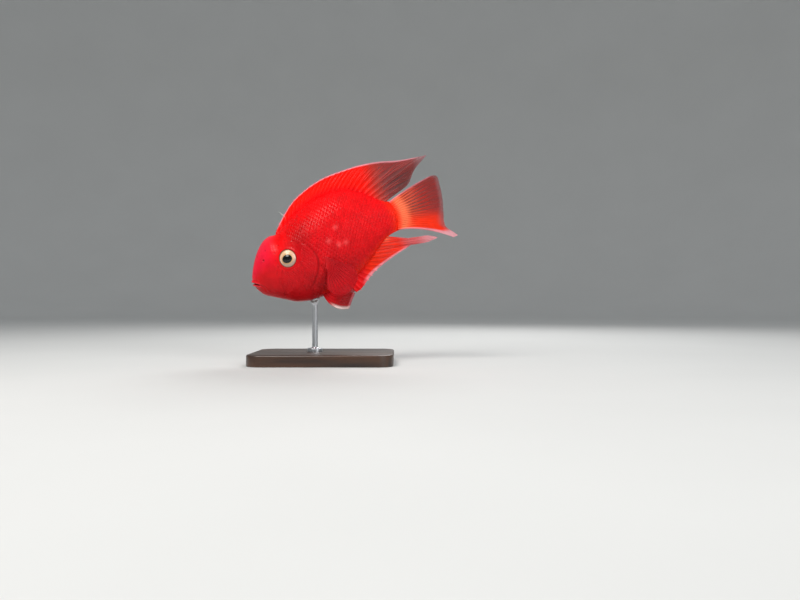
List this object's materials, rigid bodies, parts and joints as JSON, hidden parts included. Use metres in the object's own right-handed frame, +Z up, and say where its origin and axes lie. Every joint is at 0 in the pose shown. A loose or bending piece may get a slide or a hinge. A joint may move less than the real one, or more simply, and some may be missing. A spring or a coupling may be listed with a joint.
{
  "type": "blood parrot cichlid display model",
  "caption": "Life-size model of a red blood parrot cichlid swimming head down, with its fins spread, held over a flat dark base by a short steel rod.",
  "frame": {"origin": "centre of the stand base's underside, at the height of the surface that it stands on", "axes": "+Z up, the fish faces -X with its head down, its left side faces -Y, and its middle plane is y = 0"},
  "size_m": [0.1648, 0.084, 0.165],
  "materials": {
    "skin": "glossy red fish skin",
    "tail_stalk_skin": "glossy orange-red fish skin",
    "gill_cover_skin": "glossy red fish skin",
    "iris": "wet cream iris",
    "pupil": "wet black pupil",
    "dorsal_membrane": "red fin membrane with a pale pink edge",
    "tail_membrane": "orange-red fin membrane",
    "anal_membrane": "orange-red fin membrane with a pale pink edge",
    "pelvic_membrane": "pinkish red fin membrane with a white edge",
    "pectoral_membrane": "thin pinkish red fin membrane",
    "stand_wood": "dark stained wood",
    "stand_steel": "brushed steel"
  },
  "bodies": {
    "root": {"head": "skin", "trunk": "skin", "tail_stalk": "tail_stalk_skin", "gill_cover_left": "gill_cover_skin", "gill_cover_right": "gill_cover_skin", "eye_left": "iris", "eye_right": "iris", "pupil_left": "pupil", "pupil_right": "pupil", "dorsal_fin": "dorsal_membrane", "tail_fin": "tail_membrane", "anal_fin": "anal_membrane", "pelvic_fin_left": "pelvic_membrane", "pelvic_fin_right": "pelvic_membrane", "pectoral_fin_left": "pectoral_membrane", "pectoral_fin_right": "pectoral_membrane", "stand_base": "stand_wood", "stand_rod": "stand_steel"}
  },
  "joints": []
}
